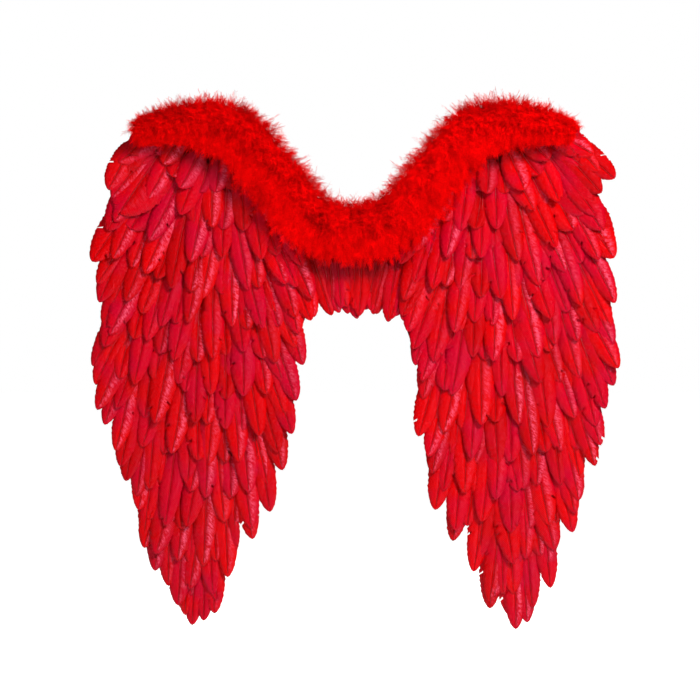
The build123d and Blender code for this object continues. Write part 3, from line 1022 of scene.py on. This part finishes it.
ELASTIC = elastic()
for side in SIDES:
    low, high = (np.array(corner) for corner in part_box(f"{side}_arm_loop"))
    shape = welded(f"{side}_arm_loop")
    cut_grid(shape, low, high, 1.25 * MM, axes=(0,))
    mesh = bpy.data.meshes.new(f"{side}_elastic")
    shape.to_mesh(mesh)
    shape.free()
    points, _ = arrays_of(mesh)
    normals = np.zeros(len(points) * 3, np.float32)
    mesh.vertex_normals.foreach_get("vector", normals)
    rib = np.cos(2 * np.pi * (points[:, 0] - low[0] - 0.625 * MM) / (2.5 * MM))
    points += 0.14 * MM * rib[:, None] * normals.reshape(-1, 3) * [0.2, 1, 1]
    mesh.vertices.foreach_set("co", points.astype(np.float32).ravel())
    mesh.materials.append(ELASTIC)
    mesh.update()
    loop = bpy.data.objects.new(f"{side}_elastic", mesh)
    bpy.context.scene.collection.objects.link(loop)
    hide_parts(f"{side}_arm_loop")
    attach(loop, "centre")
    print(loop.name, "faces", len(mesh.polygons))

# %% [markdown]
# ## The back pad
# A small stuffed pad of felt keeps the board off the wearer's back. It starts a little smaller than
# the CAD pad, is remeshed into even squares, and is blown up by cloth simulation. How far a point
# moves is capped, and no point goes through the felt behind it.

# %% Blow up the pad
def apply_modifier(piece):
    """Freezes a piece's modifiers at the current frame, as a new mesh."""
    bpy.context.view_layer.update()
    seen = piece.evaluated_get(bpy.context.evaluated_depsgraph_get())
    mesh = bpy.data.meshes.new_from_object(seen)
    piece.modifiers.clear()
    piece.data = mesh
    return mesh


def stuffed_pad(name, node_name, swell):
    """A smaller copy of the CAD pad, remeshed, then swollen by cloth pressure by at most swell."""
    low, high = (np.array(corner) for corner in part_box(node_name))
    centre, half = 0.5 * (low + high), 0.5 * (high - low)
    shape = welded(node_name)
    mesh = bpy.data.meshes.new(name)
    shape.to_mesh(mesh)
    shape.free()
    points, _ = arrays_of(mesh)
    points = centre + (points - centre) * (1 - 0.7 * swell / half)
    mesh.vertices.foreach_set("co", points.astype(np.float32).ravel())
    piece = bpy.data.objects.new(name, mesh)
    bpy.context.scene.collection.objects.link(piece)
    even = piece.modifiers.new("even", "REMESH")
    even.mode, even.voxel_size = "VOXEL", 3 * MM
    before, _ = arrays_of(apply_modifier(piece))
    blown = piece.modifiers.new("blown", "CLOTH")
    blown.settings.use_pressure = True
    blown.settings.uniform_pressure_force = 4
    blown.settings.effector_weights.gravity = 0
    for step in range(1, 21):
        bpy.context.scene.frame_set(step)
    after, _ = arrays_of(apply_modifier(piece))
    bpy.context.scene.frame_set(1)
    move = after - before
    far = np.linalg.norm(move, axis=1, keepdims=True)
    before = before + move * np.minimum(1, swell / np.maximum(far, 1e-9))
    before = np.clip(before, low, high)
    piece.data.vertices.foreach_set("co", before.astype(np.float32).ravel())
    smooth = piece.modifiers.new("smooth", "SUBSURF")
    smooth.levels = smooth.render_levels = 1
    apply_modifier(piece).shade_smooth()
    return piece, centre, half


pad, pad_centre, pad_half = stuffed_pad("back_pad_cushion", "back_pad", 2.2 * MM)
print("pad faces", len(pad.data.polygons), "half size", [round(float(h), 4) for h in pad_half])

# %% [markdown]
# ### Piping
# A cord is sewn into the pad's edge. It runs round a rounded rectangle, and shares the pad's cloth.

# %% Piping and cloth of the pad
def piping(name, centre, half, radius, material):
    """A cord round the pad: a superellipse path in x and z, with a round section."""
    turn = np.linspace(0, 2 * np.pi, 96, endpoint=False)
    circle = np.stack([np.cos(turn), 0 * turn, np.sin(turn)], -1)
    path = half * np.sign(circle) * np.abs(circle) ** 0.42
    out = unit(path * [1, 0, 1])
    ring = np.linspace(0, 2 * np.pi, 8, endpoint=False)
    section = np.cos(ring)[:, None] * out[:, None] + np.sin(ring)[:, None] * np.array([0, 1, 0])
    points = (centre + path[:, None] + radius * section).reshape(-1, 3)
    quads = grid_quads(97, 8, close_columns=True) % len(points)
    return new_piece(name, points, [quads[:, ::-1]], material, rim=np.full(len(points), 1.0))


pad.data.materials.clear()
PAD_CLOTH = cloth("pad_cloth", (0.48, 0.004, 0.008), (0.36, 0.002, 0.005), 1300.0, 0.0003)
pad.data.materials.append(PAD_CLOTH)
pad_far = pad.data.attributes.new("rim", "FLOAT", "POINT")
pad_far.data.foreach_set("value", np.full(len(pad.data.vertices), 1.0, np.float32))
cord = piping("back_pad_piping", pad_centre, pad_half - 1.0 * MM, 1.0 * MM, PAD_CLOTH)
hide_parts("back_pad")
for piece in (pad, cord):
    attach(piece, "centre")
print("piping faces:", len(cord.data.polygons))

# %% [markdown]
# ## Metal and board: finishes for the CAD parts that keep their shape
# The wire, the clips, the pins, the rivets and the boards have their true shape in CAD, so they only
# need a finish.

# %% Hard finishes
def plain_finish(name, colour, other, roughness, metallic, scale, depth):
    """A finish with fine mottling: noise mixes two near colours and gives a light bump."""
    material, tree, shader = new_material(name, colour, roughness, Metallic=metallic)
    mottle = noise(tree, scale, 4.0)
    tree.links.new(blend_colours(tree, mottle, colour, other), shader.inputs["Base Color"])
    bump(tree, shader, mottle, depth)
    return material


FINISHES = {
    "steel_wire": plain_finish("drawn_wire", (0.55, 0.55, 0.56), (0.38, 0.38, 0.40), 0.32, 1.0, 700.0, 2e-5),
    "plated_steel": plain_finish("nickel_plate", (0.7, 0.69, 0.67), (0.52, 0.51, 0.5), 0.22, 1.0, 300.0, 1e-5),
    "stiff_card": plain_finish("stiff_card", (0.42, 0.33, 0.23), (0.33, 0.25, 0.17), 0.85, 0.0, 900.0, 1e-4),
}
for part in frame["record"]["subparts"]:
    shape = frame["nodes"][part["node"]]
    if part["material_slot"] in FINISHES and not shape.hide_render:
        shape.data.materials.clear()
        shape.data.materials.append(FINISHES[part["material_slot"]])
print("finishes:", ", ".join(FINISHES))

# %% [markdown]
# ## Studio
# The wings hang over a pale floor. It glows for the camera only, so that it looks nearly white without
# lighting the red.

# %% Floor
low, high = (np.array(corner) for corner in cad_box)
middle = 0.5 * (low + high)
tall = high[2] - low[2]

floor_paint, floor_tree, floor_shader = new_material("floor_paint", (0.93, 0.93, 0.93), 0.9)
floor_tree.links.new(
    blend_colours(floor_tree, noise(floor_tree, 3.0), (0.94, 0.94, 0.94), (0.91, 0.91, 0.91)),
    floor_shader.inputs["Base Color"],
)
floor_shader.inputs["Emission Color"].default_value = (1, 1, 1, 1)
floor_seen = node(floor_tree, "ShaderNodeLightPath").outputs["Is Camera Ray"]
glow = maths(floor_tree, "MULTIPLY", floor_seen, 0.82)
floor_tree.links.new(glow, floor_shader.inputs["Emission Strength"])
bpy.ops.mesh.primitive_plane_add(size=40, location=(0, 0, low[2] - 0.35 * tall))
floor = bpy.context.object
floor.name = "floor"
floor.data.materials.append(floor_paint)
floor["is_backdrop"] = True


print("floor height in m:", round(float(floor.location.z), 3))

# %% [markdown]
# ### Lights
# A soft key light from the front right, a weak fill from the left and a light behind. Highlights come
# from two small lights of their own, so that each can be set without changing the other.

# %% Lights
def area_light(name, place, size, power, shine=False):
    """A square soft light that faces the middle of the wings, for body light or for highlights."""
    lamp = bpy.data.lights.new(name, "AREA")
    lamp.energy, lamp.size = power, size
    made = bpy.data.objects.new(name, lamp)
    bpy.context.scene.collection.objects.link(made)
    made.location = place
    aim = made.location - type(made.location)(middle)
    made.rotation_euler = aim.to_track_quat("Z", "Y").to_euler()
    made.visible_diffuse, made.visible_glossy = not shine, shine


area_light("key", (1.1, -1.6, 1.2), 0.5, 60)
area_light("glint", (1.2, -1.5, 0.6), 0.3, 9, shine=True)
area_light("fill", (-1.7, -1.5, 0.3), 1.0, 6)
area_light("back", (0.4, 1.8, 1.0), 1.5, 26)
area_light("back_glint", (-0.5, 1.8, 0.8), 0.8, 12, shine=True)
print("lights:", [lamp.name for lamp in bpy.data.lights])

# %% [markdown]
# ### Surround and camera
# A saturated red looks washed out where it mirrors white, so what it mirrors is nearly dark, while the
# camera still sees a white surround. The camera looks straight at the feathered face.

# %% Surround and camera
world = bpy.data.worlds.new("surround")
bpy.context.scene.world = world
world.use_nodes = True
sky = world.node_tree.nodes["Background"]
sky.inputs["Color"].default_value = (1, 1, 1, 1)
ray = node(world.node_tree, "ShaderNodeLightPath").outputs
base = maths(world.node_tree, "MULTIPLY_ADD", ray["Is Glossy Ray"], -0.2, 0.22)
strength = maths(world.node_tree, "MULTIPLY_ADD", ray["Is Camera Ray"], 0.78, base)
world.node_tree.links.new(strength, sky.inputs["Strength"])
bpy.context.scene.view_settings.view_transform = "Standard"

lens = bpy.data.cameras.new("camera")
lens.lens = 85
camera = bpy.data.objects.new("camera", lens)
bpy.context.scene.collection.objects.link(camera)
camera.location = (middle[0] - 0.005, low[1] - 3.12 * tall, middle[2] + 0.014)
camera.rotation_euler = (np.pi / 2, 0, 0)
bpy.context.scene.camera = camera
print("camera distance in m:", round(float(middle[1] - camera.location.y), 2))

# %% [markdown]
# ## Compare the sizes
# The grown feathers and the down may stand a little past the CAD box, but not far. How far is printed.

# %% Compare the sizes
shown_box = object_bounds()
past = (np.array(shown_box[1]) - np.array(cad_box[1])) / MM
print("past the CAD box by, in mm:", past.round(1))
